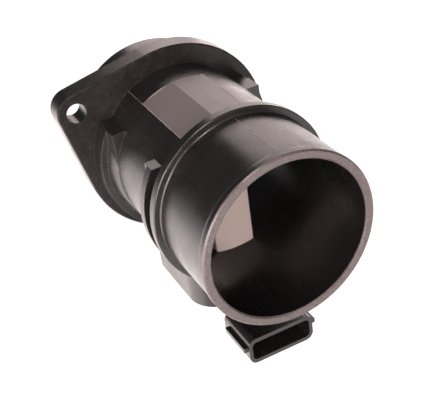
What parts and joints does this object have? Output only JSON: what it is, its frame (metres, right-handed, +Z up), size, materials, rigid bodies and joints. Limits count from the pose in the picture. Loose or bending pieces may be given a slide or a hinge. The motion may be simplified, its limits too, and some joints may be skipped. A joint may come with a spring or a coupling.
{
  "type": "mass airflow sensor",
  "caption": "Hot-film mass airflow sensor: black plastic duct with a two-hole flange, an inlet spigot with flow screen, a hose spigot, and a housing with a socket connector below.",
  "frame": {"origin": "on the bore's axis, in the flange's mounting face", "axes": "+X along the bore from inlet to outlet, +Z up, away from the electronics housing"},
  "size_m": [0.1222, 0.0982, 0.108],
  "materials": {
    "black_plastic": "satin",
    "finger_plastic": "satin",
    "screen_plastic": "satin",
    "seal_rubber": "matt",
    "seal_silicone": "matt",
    "board_laminate": "satin",
    "chip_resin": "satin",
    "capacitor_ceramic": "satin",
    "strip_ceramic": "matt",
    "film_silicon": "polished",
    "bead_glass": "gloss",
    "tinned_brass": "satin",
    "zinc_steel": "satin"
  },
  "bodies": {
    "root": {"duct_body": "black_plastic", "sensor_finger": "finger_plastic", "bypass_cover": "finger_plastic", "finger_gasket": "seal_silicone", "sensor_strip": "strip_ceramic", "hot_film_chip": "film_silicon", "intake_temp_sensor": "bead_glass", "finger_screw_1": "zinc_steel", "finger_screw_2": "zinc_steel", "circuit_board": "board_laminate", "signal_processor": "chip_resin", "bridge_amplifier": "chip_resin", "supply_capacitor": "capacitor_ceramic", "filter_capacitor_1": "capacitor_ceramic", "filter_capacitor_2": "capacitor_ceramic", "trim_resistor_1": "chip_resin", "trim_resistor_2": "chip_resin", "terminal_1": "tinned_brass", "terminal_2": "tinned_brass", "terminal_3": "tinned_brass", "terminal_4": "tinned_brass", "terminal_5": "tinned_brass", "terminal_6": "tinned_brass", "cover_seal": "seal_silicone", "housing_cover": "black_plastic", "spigot_seal": "seal_rubber", "inlet_screen": "screen_plastic", "screen_ring": "screen_plastic"}
  },
  "joints": []
}
